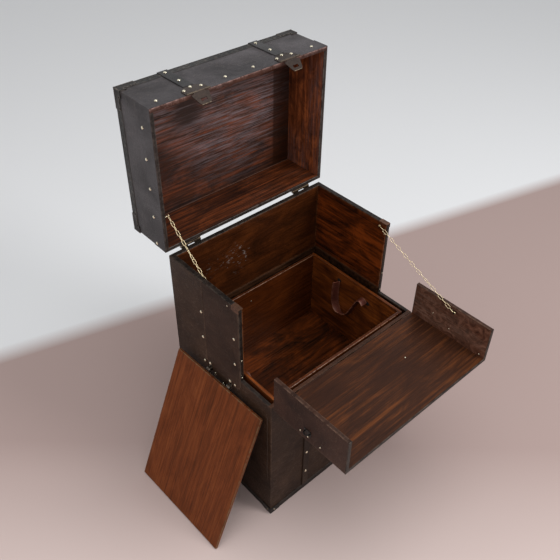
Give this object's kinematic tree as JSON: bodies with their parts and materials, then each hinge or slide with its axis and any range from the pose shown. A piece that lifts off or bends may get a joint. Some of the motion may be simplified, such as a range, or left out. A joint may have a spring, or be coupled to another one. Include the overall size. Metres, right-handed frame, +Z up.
{
  "type": "wardrobe trunk",
  "caption": "Upright leather-covered wooden trunk with a hinged box lid, a drop-front flap, a lift-out tray, chain stays, hasps and carry handles.",
  "frame": {"origin": "centre of the case's flat underside, on the floor", "axes": "+X to the right as seen from the front, +Y to the back, +Z up"},
  "size_m": [0.8629, 0.9265, 1.3118],
  "materials": {
    "leather_case": "satin, worn",
    "leather_lid": "satin, crackled",
    "leather_binding": "satin, worn",
    "leather_strap": "satin, worn",
    "leather_pull": "matte, worn",
    "leather_grip": "satin, worn",
    "embossed_edging": "embossed, worn",
    "corner_metal": "dark, worn",
    "board_wood": "glossy stain",
    "liner_wood": "glossy stain",
    "tray_wood": "glossy stain",
    "flap_wood": "satin stain",
    "loose_wood": "satin stain",
    "nail_brass": "polished, aged",
    "chain_brass": "satin, aged",
    "hardware_bronze": "dark patina",
    "pin_steel": "dull"
  },
  "bodies": {
    "case": {"floor_board": "board_wood", "front_board": "board_wood", "back_board": "board_wood", "left_board": "board_wood", "right_board": "board_wood", "case_skin": "leather_case", "side_overlaps": "leather_case", "liner_back": "liner_wood", "liner_left": "liner_wood", "liner_right": "liner_wood", "case_binding": "leather_binding", "foot_binding": "leather_binding", "foot_corners": "corner_metal", "rim_corners": "hardware_bronze", "case_straps": "leather_strap", "tray_ledges": "board_wood", "case_nails": "nail_brass", "lid_hinge_leaves": "hardware_bronze", "flap_hinge_leaves": "hardware_bronze", "hinge_pins": "pin_steel", "case_chain_studs": "nail_brass", "handle_mounts": "hardware_bronze"},
    "lid": {"lid_top_board": "board_wood", "lid_front_board": "board_wood", "lid_back_board": "board_wood", "lid_left_board": "board_wood", "lid_right_board": "board_wood", "lid_skin": "leather_lid", "lid_binding": "leather_binding", "lid_band": "leather_lid", "lid_edging": "embossed_edging", "lid_corners": "corner_metal", "lid_straps": "leather_strap", "lid_nails": "nail_brass", "hasp_plates": "hardware_bronze", "hasp_pins": "pin_steel", "lid_leaves": "hardware_bronze", "lid_chain_stud": "nail_brass"},
    "hasp_left": {"hasp_tongue_left": "hardware_bronze"},
    "hasp_right": {"hasp_tongue_right": "hardware_bronze"},
    "flap": {"flap_panel": "flap_wood", "flap_wings": "flap_wood", "flap_skin": "leather_case", "flap_binding": "leather_binding", "flap_straps": "leather_strap", "flap_fittings": "hardware_bronze", "flap_nails": "nail_brass", "flap_leaves": "hardware_bronze"},
    "tray": {"tray_walls_long": "tray_wood", "tray_walls_short": "tray_wood", "tray_bottom": "tray_wood", "tray_pulls": "leather_pull", "tray_nails": "nail_brass"},
    "board": {"loose_board": "loose_wood"},
    "handle_left": {"carry_handle_left": "leather_grip"},
    "handle_right": {"carry_handle_right": "leather_grip"},
    "lid_chain_low": {"lid_chain_lower": "chain_brass"},
    "lid_chain_high": {"lid_chain_upper": "chain_brass"},
    "flap_chain_high": {"flap_chain_upper": "chain_brass"},
    "flap_chain_low": {"flap_chain_lower": "chain_brass"}
  },
  "joints": [
    {"name": "lid_hinge", "type": "hinge", "parent": "case", "child": "lid", "pos_m": [0, 0.236, 0.838], "axis": [-1, 0, 0], "range_deg": [-90, 0]},
    {"name": "flap_hinge", "type": "hinge", "parent": "case", "child": "flap", "pos_m": [0, -0.234, 0.544], "axis": [1, 0, 0], "range_deg": [-90, 0]},
    {"name": "tray_lift", "type": "slide", "parent": "case", "child": "tray", "axis": [0, 0, 1], "range_m": [0, 0.6]},
    {"name": "board_away", "type": "slide", "parent": "case", "child": "board", "axis": [-1, 0, 0], "range_m": [0, 0.6]},
    {"name": "hasp_left_swing", "type": "hinge", "parent": "lid", "child": "hasp_left", "pos_m": [-0.164, 0.2294, 1.309], "axis": [1, 0, 0], "range_deg": [-113, 57]},
    {"name": "hasp_right_swing", "type": "hinge", "parent": "lid", "child": "hasp_right", "pos_m": [0.164, 0.2294, 1.309], "axis": [1, 0, 0], "range_deg": [-113, 57]},
    {"name": "handle_left_swing", "type": "hinge", "parent": "case", "child": "handle_left", "pos_m": [-0.318, 0.008, 0.484], "axis": [0, 1, 0], "range_deg": [0, 20]},
    {"name": "handle_right_swing", "type": "hinge", "parent": "case", "child": "handle_right", "pos_m": [0.318, 0.008, 0.484], "axis": [0, -1, 0], "range_deg": [0, 110]},
    {"name": "lid_chain_low_fold", "type": "hinge", "parent": "case", "child": "lid_chain_low", "pos_m": [-0.2927, 0.074, 0.814], "axis": [-1, 0, 0], "range_deg": [0, 123]},
    {"name": "lid_chain_high_fold", "type": "hinge", "parent": "lid", "child": "lid_chain_high", "pos_m": [-0.2894, 0.245, 0.958], "axis": [-1, 0, 0], "range_deg": [0, 54]},
    {"name": "flap_chain_high_fold", "type": "hinge", "parent": "case", "child": "flap_chain_high", "pos_m": [0.2927, -0.069, 0.82], "axis": [1, 0, 0], "range_deg": [0, 64]},
    {"name": "flap_chain_low_fold", "type": "hinge", "parent": "flap", "child": "flap_chain_low", "pos_m": [0.2894, -0.394, 0.668], "axis": [1, 0, 0], "range_deg": [-8, 0]}
  ],
  "couplings": [
    {"joint": "lid_chain_low_fold", "follows": "lid_hinge", "ratio": -1.3644},
    {"joint": "lid_chain_high_fold", "follows": "lid_hinge", "ratio": -0.5945},
    {"joint": "flap_chain_high_fold", "follows": "flap_hinge", "ratio": -0.7097},
    {"joint": "flap_chain_low_fold", "follows": "flap_hinge", "ratio": 0.0877}
  ]
}
